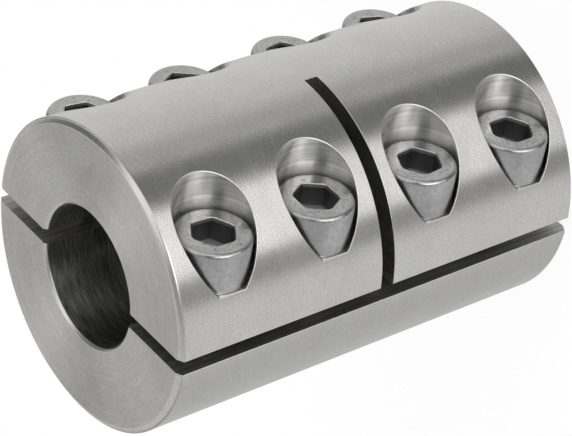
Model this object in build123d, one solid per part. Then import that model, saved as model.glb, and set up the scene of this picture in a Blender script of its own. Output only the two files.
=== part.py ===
from build123d import *
import math
import os

# Rigid shaft coupling, clamping type, in stainless steel.
# Two half shells close on two shafts that meet end to end in one bore. Eight
# socket head cap screws, four along each side, pull the halves together.
# Every screw is sunk in a counterbore of the clamp half and threads into a
# blind hole of the base half. A cross slot frees the two ends of the clamp
# half on one side, so each end grips its own shaft.
#
# Millimetres. Z is the bore axis and the coupling stands on one end face, the
# origin at the middle of that face. The halves part along the XZ plane, the
# screw heads face -Y, and the cross slot is on the -X side.

# Body of the coupling
outer_diameter = 42.0
length = 65.0
bore_diameter = 19.0
parting_gap = 2.0
end_chamfer = 0.7
bore_chamfer = 0.45
edge_break = 0.15

# Cross slot, sawn in from the -X side until just before the middle plane
slot_width = 2.0
slot_stop = 0.45

# Places of the screws: rows on both sides of the bore, each with two pairs
row_offset = 14.2
pair_pitch = 16.0
inner_pitch = 17.0

# Cap screws
thread_diameter = 6.0
screw_length = 16.0
head_diameter = 10.0
head_height = 6.0
head_chamfer = 0.6
socket_across_flats = 5.0
socket_depth = 3.2
point_chamfer = 0.6

# How far each socket is turned when its screw is tight, in degrees, from the
# standing end of the coupling upwards
front_turns = [59.5, 5.5, 28.0, 57.0]
rear_turns = [41.0, 8.0, 27.0, 52.0]

# Counterbores, clearance holes and tapped holes
seat_height = 7.9
seat_clearance = 0.5
hole_clearance = 0.3
thread_clearance = 0.05
tap_runout = 2.0

# Plain margin by which a cutting shape passes the face that it opens
overshoot = 2.0

outer_radius = outer_diameter / 2
bore_radius = bore_diameter / 2
half_gap = parting_gap / 2


def screw_heights():
    """Heights of the four screws of a row, even about the middle."""
    inner = inner_pitch / 2
    outer = inner + pair_pitch
    return [length / 2 + offset for offset in (-outer, -inner, inner, outer)]


def screw_frame(side, height):
    """Plane at the middle of a screw hole, with its normal out of the head."""
    return Plane(
        origin=(side * row_offset, 0, height),
        x_dir=(0, 0, 1),
        z_dir=(0, -1, 0),
    )


def turned_profile(points):
    """Solid turned about the local Z axis from radius and height pairs."""
    section = Plane.XZ * make_face(Polyline(*points, close=True))
    return revolve(section, axis=Axis.Z)


def turned_sleeve():
    """The sleeve as it leaves the lathe, before it is sawn in two."""
    return turned_profile([
        (bore_radius + bore_chamfer, 0),
        (outer_radius - end_chamfer, 0),
        (outer_radius, end_chamfer),
        (outer_radius, length - end_chamfer),
        (outer_radius - end_chamfer, length),
        (bore_radius + bore_chamfer, length),
        (bore_radius, length - bore_chamfer),
        (bore_radius, bore_chamfer),
    ])


def half_sleeve(facing):
    """One half of the sawn sleeve, on the side of Y that facing gives."""
    reach = outer_radius + overshoot
    keep = Box(
        2 * reach,
        reach,
        length + 2 * overshoot,
        align=(Align.CENTER, Align.MIN, Align.MIN),
    )
    keep = Pos(0, half_gap, -overshoot) * keep
    if facing < 0:
        keep = mirror(keep, about=Plane.XZ)
    return turned_sleeve() & keep


def broken_parting_edges(half):
    """The half with its four long sawn edges broken."""
    sawn = half.edges().filter_by(Axis.Z).filter_by(
        lambda edge: abs(abs(edge.center().Y) - half_gap) < edge_break / 2
    )
    return chamfer(sawn, edge_break)


def counterbore_cutter():
    """Clearance hole and counterbore of one screw, open at the outside."""
    hole = thread_diameter / 2 + hole_clearance
    pocket = head_diameter / 2 + seat_clearance
    top = outer_radius + overshoot
    return turned_profile([
        (0, -overshoot),
        (hole, -overshoot),
        (hole, seat_height),
        (pocket, seat_height),
        (pocket, top),
        (0, top),
    ])


def tapped_hole_cutter():
    """Blind tapped hole of one screw, a little deeper than its point."""
    radius = thread_diameter / 2 + thread_clearance
    floor = seat_height - screw_length - tap_runout
    return turned_profile([
        (0, overshoot),
        (radius, overshoot),
        (radius, floor),
        (0, floor),
    ])


def cross_slot_cutter():
    """The sawn slot at mid length, open to the -X side."""
    reach = outer_radius + overshoot
    return Pos(-slot_stop, 0, length / 2) * Box(
        reach,
        reach,
        slot_width,
        align=(Align.MAX, Align.MAX, Align.CENTER),
    )


def clamp_half():
    """Half shell with the counterbores and the cross slot."""
    half = broken_parting_edges(half_sleeve(-1))
    for side in (-1, 1):
        for height in screw_heights():
            half -= screw_frame(side, height) * counterbore_cutter()
    return half - cross_slot_cutter()


def base_half():
    """Half shell with the tapped holes."""
    half = broken_parting_edges(half_sleeve(1))
    for side in (-1, 1):
        for height in screw_heights():
            half -= screw_frame(side, height) * tapped_hole_cutter()
    return half


def screw_blank():
    """Cap screw without its socket, seated under the head at height 0."""
    head = head_diameter / 2
    shank = thread_diameter / 2
    return turned_profile([
        (0, -screw_length),
        (shank - point_chamfer, -screw_length),
        (shank, -screw_length + point_chamfer),
        (shank, 0),
        (head, 0),
        (head, head_height - head_chamfer),
        (head - head_chamfer, head_height),
        (0, head_height),
    ])


def socket_cutter():
    """Hexagon socket of a cap screw, sunk from height 0."""
    corners = socket_across_flats / 2 / math.cos(math.radians(30))
    return extrude(RegularPolygon(corners, 6), -socket_depth)


def cap_screw(side, height, turn):
    """One cap screw, tight in its seat with its socket turned."""
    socket = Pos(0, 0, head_height) * Rot(0, 0, turn) * socket_cutter()
    screw = screw_blank() - socket
    return screw_frame(side, height) * Pos(0, 0, seat_height) * screw


def all_nodes():
    """Every piece of the coupling under its own name."""
    nodes = {"clamp_half": clamp_half(), "base_half": base_half()}
    rows = {"front": (-1, front_turns), "rear": (1, rear_turns)}
    for row, (side, turns) in rows.items():
        places = zip(screw_heights(), turns)
        for number, (height, turn) in enumerate(places, start=1):
            nodes[f"screw_{row}_{number}"] = cap_screw(side, height, turn)
    return nodes


os.makedirs("parts", exist_ok=True)
for name, piece in all_nodes().items():
    export_step(piece, f"parts/{name}.step")
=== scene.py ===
"""Looks of the rigid clamping shaft coupling: two turned half shells and eight cap screws."""
import logging
import math
from collections.abc import Callable, Iterable, Sequence
from dataclasses import dataclass, field
from enum import Enum
from typing import NamedTuple

import bpy
from mathutils import Matrix, Vector
from mathutils.geometry import area_tri, delaunay_2d_cdt


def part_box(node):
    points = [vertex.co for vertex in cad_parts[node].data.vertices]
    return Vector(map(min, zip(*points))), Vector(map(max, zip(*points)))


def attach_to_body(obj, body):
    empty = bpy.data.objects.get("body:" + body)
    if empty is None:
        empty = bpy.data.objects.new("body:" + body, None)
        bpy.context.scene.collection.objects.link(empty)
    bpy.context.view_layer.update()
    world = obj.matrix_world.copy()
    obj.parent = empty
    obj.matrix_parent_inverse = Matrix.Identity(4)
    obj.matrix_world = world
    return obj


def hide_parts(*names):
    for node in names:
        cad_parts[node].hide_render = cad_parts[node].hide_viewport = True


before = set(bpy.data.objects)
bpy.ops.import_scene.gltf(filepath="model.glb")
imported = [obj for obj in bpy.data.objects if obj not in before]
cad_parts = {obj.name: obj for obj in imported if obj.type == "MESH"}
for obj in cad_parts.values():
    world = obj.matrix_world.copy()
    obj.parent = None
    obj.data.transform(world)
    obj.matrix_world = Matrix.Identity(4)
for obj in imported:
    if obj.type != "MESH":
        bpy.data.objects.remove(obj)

MM = 0.001
FULL_TURN = 2 * math.pi
QUARTER_TURN = FULL_TURN / 4
SOCKET_SIDES = 6
SIXTH_TURN = FULL_TURN / SOCKET_SIDES
ROUND_OFF = 1e-6

# Directions: along the bore, towards the parting plane and away from it, and out of the slot's end
UP, DOWN = (0.0, 0.0, 1.0), (0.0, 0.0, -1.0)
INWARD, OUTWARD = (0.0, -1.0, 0.0), (0.0, 1.0, 0.0)
SLOT_END = (-1.0, 0.0, 0.0)

# Rows of a rounded end edge: share of the way across it, and share of its quarter turn
ROUNDING = ((0.0, 0.0), (0.12, 0.36), (0.3, 0.48), (0.64, 0.54), (0.78, 0.76), (1.0, 1.0))

# A thread's outline over one pitch, as shares of the pitch and of the depth
THREAD_SHAPE = ((0.0, 1.0), (0.125, 1.0), (0.4375, 0.0), (0.6875, 0.0))

# How far the sockets of each row are turned, in degrees, from the standing end upwards
SOCKET_TURNS = {"front": (59.5, 5.5, 28.0, 57.0), "rear": (41.0, 8.0, 27.0, 52.0)}

Point = tuple[float, float, float]
Flat = tuple[float, float]
Number = float | bpy.types.NodeSocket
Sockets = dict[str, bpy.types.NodeSocket]

log = logging.getLogger("coupling")


class Skin(Enum):
    """The kinds of surface that the coupling's pieces have."""

    OUTSIDE = "turned_outside"
    END = "faced_end"
    BORE = "bored_inside"
    POCKET = "milled_wall"
    SEAT = "milled_seat"
    SAWN = "sawn_face"
    PARTED = "parted_face"
    EDGE = "broken_edge"
    HEAD_SIDE = "head_side"
    HEAD_TOP = "head_top"
    HEAD_ROUND = "head_round"
    SOCKET_EDGE = "socket_edge"
    SOCKET = "pressed_socket"
    SOCKET_FLOOR = "socket_floor"
    THREAD = "rolled_thread"


class Spot(NamedTuple):
    """A corner of a face: its place, the way it faces, and its place along and across the tool marks."""

    place: Point
    facing: Point
    cut: Flat


Surface = Callable[[float, float], Spot]


def unit(vector: Point) -> Point:
    """Return the vector at length 1."""
    length = math.sqrt(sum(part * part for part in vector))
    return tuple(part / length for part in vector)


def steps(low: float, high: float, size: float) -> list[float]:
    """Return even steps from low to high, both included, at most size apart.

    Args:
        low: First value.
        high: Last value.
        size: Largest step.

    Returns:
        The values, at least two.
    """
    count = max(1, math.ceil((high - low) / size - ROUND_OFF))
    return [low + (high - low) * index / count for index in range(count + 1)]


def around(angle: float, reach: float = 1.0, z: float = 0.0) -> Point:
    """Return the point at an angle about the upright axis, at a reach from it and a height."""
    return reach * math.cos(angle), reach * math.sin(angle), z


def holds(loop: Sequence[Flat], point: Flat) -> bool:
    """Tell whether a closed flat loop goes round a point.

    Args:
        loop: Corners of the loop.
        point: The point in the same plane.

    Returns:
        True where the point is inside.
    """
    x, y = point
    inside = False
    for (x1, y1), (x2, y2) in zip(loop, [*loop[1:], loop[0]]):
        if (y1 > y) != (y2 > y) and x < x1 + (y - y1) * (x2 - x1) / (y2 - y1):
            inside = not inside
    return inside


def linked(name: str, data: bpy.types.ID) -> bpy.types.Object:
    """Return a new object with its data, linked to the scene."""
    made = bpy.data.objects.new(name, data)
    bpy.context.scene.collection.objects.link(made)
    return made


class MeshDraft:
    """Faces gathered with a true normal at every corner, then welded into one mesh."""

    # How near places weld and flat points merge, in millimetres, and the least area of a face
    WELD = 1e-3
    MERGE = 1e-5
    SLIVER = 1e-6

    def __init__(self) -> None:
        """Start an empty draft, in millimetres."""
        self.known: dict[tuple[int, ...], int] = {}
        self.places: list[Point] = []
        self.faces: list[list[int]] = []
        self.facings: list[Point] = []
        self.cuts: list[Flat] = []
        self.skins: list[Skin] = []

    def vertex(self, place: Point) -> int:
        """Return the number of the vertex at a place, made where there is none yet.

        Args:
            place: The place, in millimetres.

        Returns:
            Its number, the same for places that weld.
        """
        key = tuple(round(part / self.WELD) for part in place)
        if key not in self.known:
            self.known[key] = len(self.places)
            self.places.append(place)
        return self.known[key]

    def face(self, corners: Iterable[Spot], skin: Skin) -> None:
        """Add one face, wound so that it faces the way that its corners do.

        Args:
            corners: The corners in order, either way round.
            skin: The kind of surface.
        """
        kept: dict[int, Spot] = {}
        for spot in corners:
            kept.setdefault(self.vertex(spot.place), spot)
        if len(kept) < 3:
            return
        order = list(kept)
        normal = Vector()
        for first, second in zip(order, [*order[1:], order[0]]):
            normal += Vector(self.places[first]).cross(Vector(self.places[second]))
        facing = sum((Vector(spot.facing) for spot in kept.values()), Vector())
        if normal.dot(facing) < 0:
            order.reverse()
        self.faces.append(order)
        self.facings += [unit(kept[index].facing) for index in order]
        self.cuts += [kept[index].cut for index in order]
        self.skins.append(skin)

    def grid(self, rows: Sequence[Sequence[Spot]], skin: Skin) -> None:
        """Add the faces between rows that have as many corners each.

        Args:
            rows: The rows, side by side.
            skin: The kind of surface.
        """
        for row, following in zip(rows, rows[1:]):
            for index in range(len(row) - 1):
                self.face((row[index], row[index + 1], following[index + 1], following[index]), skin)

    def fan(self, row: list[Spot], centre: Spot, skin: Skin) -> None:
        """Add the faces between a row of corners and a single one."""
        self.grid([row, [centre] * len(row)], skin)

    def patch(self, surface: Surface, rim: list[Flat], holes: list[list[Flat]],
              inner: list[Flat], skin: Skin) -> None:
        """Triangulate a bounded stretch of a surface in the surface's own flat coordinates.

        Args:
            surface: Gives the corner for a pair of flat coordinates.
            rim: Outer edge of the stretch.
            holes: Edges of its holes.
            inner: Points between the edges that the triangles also use.
            skin: The kind of surface.
        """
        loops = [rim, *holes]
        flat = []
        edges = []
        for loop in loops:
            start = len(flat)
            edges += [(start + i, start + (i + 1) % len(loop)) for i in range(len(loop))]
            flat += loop
        flat += inner
        found = delaunay_2d_cdt([Vector(point) for point in flat], edges, [], 0, self.MERGE)
        sources = [flat[origins[0]] for origins in found[3]]
        corners = [surface(*source) for source in sources]
        for triangle in found[2]:
            if area_tri(*(found[0][index] for index in triangle)) < self.SLIVER:
                continue
            middle = tuple(sum(sources[index][axis] for index in triangle) / 3 for axis in (0, 1))
            if holds(rim, middle) and not any(holds(hole, middle) for hole in holes):
                self.face([corners[index] for index in triangle], skin)

    def build(self, name: str, paint: Callable[[Skin], bpy.types.Material]) -> bpy.types.Object:
        """Make the object, in metres, with its normals, tool paths and materials.

        Args:
            name: Name of the piece.
            paint: Gives the material of a kind of surface.

        Returns:
            The new object, linked to the scene.
        """
        mesh = bpy.data.meshes.new(name)
        places = [tuple(part * MM for part in place) for place in self.places]
        mesh.from_pydata(places, [], self.faces)
        slots = list(dict.fromkeys(self.skins))
        for skin in slots:
            mesh.materials.append(paint(skin))
        mesh.polygons.foreach_set("material_index", [slots.index(skin) for skin in self.skins])
        mesh.polygons.foreach_set("use_smooth", [True] * len(self.faces))
        paths = mesh.uv_layers.new(name="tool_path")
        paths.data.foreach_set("uv", [value for cut in self.cuts for value in cut])
        mesh.update()
        mesh.normals_split_custom_set(self.facings)
        return linked(name, mesh)


@dataclass(frozen=True)
class CouplingSizes:
    """Sizes that the pieces share, in millimetres, with the outline read from the frame."""

    outer_radius: float
    length: float
    bore_radius: float = 9.5
    half_gap: float = 1.0
    end_chamfer: float = 0.5
    end_reach: float = 0.85
    bore_chamfer: float = 0.45
    edge_break: float = 0.15
    lip_break: float = 0.12
    slot_width: float = 2.0
    slot_stop: float = 0.45
    slot_edge: float = 0.08
    head_radius: float = 5.0
    head_height: float = 6.0
    screw_length: float = 16.0
    pocket_radius: float = 5.5
    clearance_radius: float = 3.3
    tapped_radius: float = 3.05
    tapped_floor: float = 10.1

    @classmethod
    def from_frame(cls) -> "CouplingSizes":
        """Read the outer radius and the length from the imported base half."""
        low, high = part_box("base_half")
        return cls(outer_radius=high.y / MM, length=(high.z - low.z) / MM)

    @property
    def middle(self) -> float:
        """Height of the middle plane."""
        return self.length / 2


@dataclass(frozen=True)
class ScrewPlace:
    """Where one cap screw sits, in millimetres, and how far its socket is turned, in degrees."""

    node: str
    x: float
    height: float
    top: float
    turn: float

    @classmethod
    def from_frame(cls, node: str, turn: float) -> "ScrewPlace":
        """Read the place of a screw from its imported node."""
        low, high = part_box(node)
        return cls(node, (low.x + high.x) / 2 / MM, (low.z + high.z) / 2 / MM, -low.y / MM, turn)

    @property
    def side(self) -> int:
        """The screw's side of the bore: 1 towards +X and -1 towards -X."""
        return 1 if self.x > 0 else -1


@dataclass
class HalfShell:
    """One half of the sleeve, drawn in x, depth from the parting plane, and height."""

    sizes: CouplingSizes
    screws: list[ScrewPlace]
    name: str
    side: int
    draft: MeshDraft = field(default_factory=MeshDraft)
    column_angle: float = math.radians(1.25)
    row_height: float = 2.0
    ring_step: float = 1.0
    hole_columns: int = 48

    def spot(self, x: float, depth: float, z: float, facing: Point, cut: Flat) -> Spot:
        """Return a corner given in the half's own coordinates."""
        return Spot((x, self.side * depth, z), (facing[0], self.side * facing[1], facing[2]), cut)

    def round_spot(self, radius: float, angle: float, z: float, facing: Point | None = None,
                   cut: Flat | None = None) -> Spot:
        """Return a corner at a radius and angle about the bore axis, facing outwards unless told."""
        x, depth, _ = around(angle, radius)
        return self.spot(x, depth, z, facing or around(angle), cut or (radius * angle, z))

    @property
    def broken_lift(self) -> float:
        """Depth at which the broken long edges end."""
        return self.sizes.half_gap + self.sizes.edge_break

    def crown_angle(self, radius: float) -> float:
        """Return the angle of the middle column at a radius."""
        return QUARTER_TURN

    def columns(self, radius: float, lift: float | None = None) -> list[float]:
        """Return the angles of the columns at a radius, as many on both sides of the middle one.

        Args:
            radius: Distance from the bore axis.
            lift: Depth of the first and the last column, at the broken edge unless given.

        Returns:
            As many angles at every radius, rising.
        """
        first = math.asin((self.broken_lift if lift is None else lift) / radius)
        crown = self.crown_angle(radius)
        count = round(QUARTER_TURN / self.column_angle)
        rise = [first + (crown - first) * index / count for index in range(count)]
        fall = [crown + (math.pi - first - crown) * index / count for index in range(count + 1)]
        return rise + fall

    def profile(self, z: float, out: int) -> float:
        """Return the radius of the outside or the bore at a height, end chamfers included.

        Args:
            z: The height.
            out: 1 on the outside and -1 in the bore.

        Returns:
            The radius there.
        """
        sizes = self.sizes
        end = min(z, sizes.length - z)
        if out < 0:
            return sizes.bore_radius + max(0.0, sizes.bore_chamfer - end)
        return sizes.outer_radius - sizes.end_reach * max(0.0, 1 - end / sizes.end_chamfer)

    def gap_reach(self, radius: float, out: int = 0) -> float:
        """Return where a circle meets the parting face, with room for a broken edge where out is 1 or -1."""
        return math.sqrt(radius ** 2 - self.sizes.half_gap ** 2) - out * self.sizes.edge_break

    def face_radii(self, inner: float, outer: float) -> list[float]:
        """Return the radii between two circles at which rings of a flat face meet the parting face."""
        first, last = (math.hypot(self.gap_reach(radius, out), self.sizes.half_gap)
                       for radius, out in ((inner, -1), (outer, 1)))
        return steps(first, last, self.ring_step)

    def face_rings(self, inner: float, outer: float) -> list[tuple[float, list[float]]]:
        """Return the radius and the column angles of each ring of a flat face.

        Args:
            inner: Radius of the bore's edge of the face.
            outer: Radius of its outer edge.

        Returns:
            The rings from the bore outwards.
        """
        gap = self.sizes.half_gap
        rings = [(radius, self.columns(radius, gap)) for radius in self.face_radii(inner, outer)]
        return [(inner, self.columns(inner)), *rings, (outer, self.columns(outer))]

    def build(self, paint: Callable[[Skin], bpy.types.Material]) -> bpy.types.Object:
        """Make the half shell as one object.

        Args:
            paint: Gives the material of a kind of surface.

        Returns:
            The new object.
        """
        self.outside()
        self.inside()
        self.ends()
        self.parting_faces()
        self.screw_holes()
        return self.draft.build(self.name, paint)

    def spans(self, x_side: int) -> list[Flat]:
        """Return the stretches of height where a long edge runs, whole on a plain half."""
        return [(0.0, self.sizes.length)]

    def levels(self, low: float, high: float) -> list[float]:
        """Return the heights of the rows of a wall between low and high."""
        return steps(low, high, self.row_height)

    def far_edge(self, arcs: list[float], low: float, high: float) -> list[Flat]:
        """Return the outside's edge beside the last column, laid out flat, without its upper end."""
        return [(arcs[-1], z) for z in self.levels(low, high)[:-1]]

    def outside_rim(self) -> list[Flat]:
        """Return the edge of the turned outside, laid out flat.

        Returns:
            The corners in order.
        """
        sizes = self.sizes
        low, high = sizes.end_chamfer, sizes.length - sizes.end_chamfer
        arcs = [sizes.outer_radius * angle for angle in self.columns(sizes.outer_radius)]
        rim = [(arc, low) for arc in arcs[:-1]] + self.far_edge(arcs, low, high)
        rim += [(arc, high) for arc in reversed(arcs[1:])]
        return rim + [(arcs[0], z) for z in reversed(self.levels(low, high)[1:])]

    def outside_holes(self) -> list[list[Flat]]:
        """Return the edges of what opens the turned outside, nothing on a plain half."""
        return []

    def outside_clear(self, arc: float, z: float) -> bool:
        """Tell whether a point of the outside is well clear of every opening."""
        return True

    def outside(self) -> None:
        """Add the turned outside."""
        sizes = self.sizes
        radius = sizes.outer_radius
        rows = steps(sizes.end_chamfer, sizes.length - sizes.end_chamfer, self.row_height)[1:-1]
        inner = [
            (radius * angle, z)
            for angle in self.columns(radius)[1:-1]
            for z in rows
            if self.outside_clear(radius * angle, z)
        ]
        self.draft.patch(lambda arc, z: self.round_spot(radius, arc / radius, z),
                         self.outside_rim(), self.outside_holes(), inner, Skin.OUTSIDE)

    def bore_stretches(self, arcs: list[float], low: float,
                       high: float) -> list[tuple[list[float], list[float]]]:
        """Return the arcs and heights of the bore's stretches, a single one on a plain half."""
        return [(arcs, self.levels(low, high))]

    def inside(self) -> None:
        """Add the bore."""
        sizes = self.sizes
        radius = sizes.bore_radius
        arcs = [radius * angle for angle in self.columns(radius)]
        low, high = sizes.bore_chamfer, sizes.length - sizes.bore_chamfer
        for stretch, levels in self.bore_stretches(arcs, low, high):
            rows = [[self.round_spot(radius, arc / radius, z, around(arc / radius, -1.0)) for arc in stretch]
                    for z in levels]
            self.draft.grid(rows, Skin.BORE)

    def ends(self) -> None:
        """Add both end faces with their outer and bore chamfers."""
        sizes = self.sizes
        inner, outer = sizes.bore_radius + sizes.bore_chamfer, sizes.outer_radius - sizes.end_reach
        for z, facing in ((0.0, DOWN), (sizes.length, UP)):
            rows = [[self.round_spot(radius, angle, z, facing, (radius * angle, radius)) for angle in angles]
                    for radius, angles in self.face_rings(inner, outer)]
            self.draft.grid(rows, Skin.END)
            self.chamfer(z, facing[2], (outer, sizes.outer_radius), sizes.end_chamfer, 1)
            self.chamfer(z, facing[2], (inner, sizes.bore_radius), sizes.bore_chamfer, -1)

    def chamfer(self, z: float, up: float, radii: Flat, depth: float, out: int) -> None:
        """Add one rounded edge round an end.

        Args:
            z: Height of the end face.
            up: 1 on the upper end and -1 on the lower one.
            radii: Radius at the end face, and radius at the outside or the bore.
            depth: Height that the edge takes.
            out: 1 on the outside and -1 in the bore.
        """
        face_radius, wall_radius = radii
        rows = []
        for share, tilt in ROUNDING:
            radius = face_radius + (wall_radius - face_radius) * share
            reach, rise = out * math.sin(tilt * QUARTER_TURN), up * math.cos(tilt * QUARTER_TURN)
            rows.append([self.round_spot(radius, angle, z - up * depth * share, around(angle, reach, rise))
                         for angle in self.columns(radius)])
        self.draft.grid(rows, Skin.EDGE)

    def chamfer_breaks(self, out: int, low: float, high: float) -> list[float]:
        """Return the heights between low and high at which the rows of a long edge lie.

        Args:
            out: 1 on the outside and -1 in the bore.
            low: Lowest height of the edge.
            high: Highest height of the edge.

        Returns:
            Heights with the end chamfers' own rows among them.
        """
        top = self.sizes.length
        depth = self.sizes.end_chamfer if out > 0 else self.sizes.bore_chamfer
        shares = [share for share, _ in ROUNDING[:-1]]
        before = [depth * share for share in shares] if low == 0.0 else []
        after = [top - depth * share for share in reversed(shares)] if high == top else []
        return before + self.levels(depth if before else low, top - depth if after else high) + after

    def long_edge(self, x_side: int, out: int, span: Flat, wall_span: Flat) -> None:
        """Add a broken edge between a round wall and the parting face.

        Args:
            x_side: 1 towards +X and -1 towards -X.
            out: 1 on the outside and -1 in the bore.
            span: Heights between which the edge meets the parting face.
            wall_span: Heights between which it meets the round wall.
        """
        wall_row, face_row = [], []
        for level, wall_level in zip(self.chamfer_breaks(out, *span), self.chamfer_breaks(out, *wall_span)):
            radius = self.profile(wall_level, out)
            across, lift, _ = around(math.asin(self.broken_lift / radius))
            wall_row.append(self.spot(x_side * radius * across, self.broken_lift, wall_level,
                                      (x_side * out * across, out * lift, 0.0), (0.0, wall_level)))
            face_row.append(self.spot(x_side * self.gap_reach(self.profile(level, out), out),
                                      self.sizes.half_gap, level, INWARD, (self.sizes.edge_break, level)))
        self.draft.grid([wall_row, face_row], Skin.EDGE)

    def hole_radius(self) -> float:
        """Return the radius of the screw holes in the parting face."""
        return self.sizes.tapped_radius

    def hole_angles(self) -> list[float]:
        """Return the angles of the corners round a screw hole, without the last."""
        return steps(0.0, FULL_TURN, FULL_TURN / self.hole_columns)[:-1]

    def parting_faces(self) -> None:
        """Add the sawn faces beside the bore and the broken long edges."""
        for x_side in (-1, 1):
            for span in self.spans(x_side):
                self.parting_panel(x_side, *span)
                self.long_edge(x_side, 1, span, self.wall_span(*span))
                self.long_edge(x_side, -1, span, span)

    def wall_span(self, low: float, high: float) -> Flat:
        """Return the heights where the turned outside begins and ends beside a parting panel."""
        return low, high

    def parting_panel(self, x_side: int, low: float, high: float) -> None:
        """Add one sawn face with its screw holes.

        Args:
            x_side: 1 towards +X and -1 towards -X.
            low: Lowest height of the panel.
            high: Highest height of the panel.
        """
        first, last = (
            [(self.gap_reach(radius), z)
             for radius in self.face_radii(self.profile(z, -1), self.profile(z, 1))]
            for z in (low, high)
        )
        outer, inner = (
            [(self.gap_reach(self.profile(z, out), out), z) for z in self.chamfer_breaks(out, low, high)]
            for out in (1, -1)
        )
        rim = [*first[:-1], *outer[:-1], *reversed(last[1:]), *reversed(inner[1:])]
        radius = self.hole_radius()
        holes = [
            [(abs(screw.x) + radius * math.cos(angle), screw.height + radius * math.sin(angle))
             for angle in self.hole_angles()]
            for screw in self.screws
            if screw.x * x_side > 0 and low < screw.height < high
        ]
        self.draft.patch(lambda x, z: self.spot(x_side * x, self.sizes.half_gap, z, INWARD, (z, x)),
                         rim, holes, [], Skin.PARTED)

    def screw_holes(self) -> None:
        """Add the blind tapped holes."""
        sizes = self.sizes
        for screw in self.screws:
            self.hole_wall(screw, sizes.half_gap, sizes.tapped_floor)
            ring = self.hole_ring(screw, sizes.tapped_radius, sizes.tapped_floor, INWARD)
            centre = self.screw_spot(screw, 0.0, 0.0, sizes.tapped_floor, INWARD)
            self.draft.fan(ring, centre, Skin.SAWN)

    def screw_spot(self, screw: ScrewPlace, radius: float, angle: float, depth: float,
                   facing: Point | None = None) -> Spot:
        """Return a corner at a radius and angle about a screw, angle 0 towards the outside.

        Args:
            screw: The screw.
            radius: Distance from its axis.
            angle: Angle about its axis.
            depth: Depth from the parting plane.
            facing: Direction, with x positive towards the outside, to the axis unless given.

        Returns:
            The corner.
        """
        across, rise, _ = around(angle)
        out, lift, up = facing or (-across, 0.0, -rise)
        return self.spot(screw.side * (abs(screw.x) + radius * across), depth, screw.height + radius * rise,
                         (screw.side * out, lift, up), (radius * angle, radius if lift else depth))

    def hole_ring(self, screw: ScrewPlace, radius: float, depth: float,
                  facing: Point | None = None) -> list[Spot]:
        """Return a closed ring about a screw, facing its axis unless told."""
        angles = self.hole_angles()
        return [self.screw_spot(screw, radius, angle, depth, facing) for angle in [*angles, angles[0]]]

    def hole_wall(self, screw: ScrewPlace, low: float, high: float) -> None:
        """Add the round wall of a screw hole between two depths."""
        rings = [self.hole_ring(screw, self.hole_radius(), depth) for depth in (low, high)]
        self.draft.grid(rings, Skin.BORE)


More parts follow.
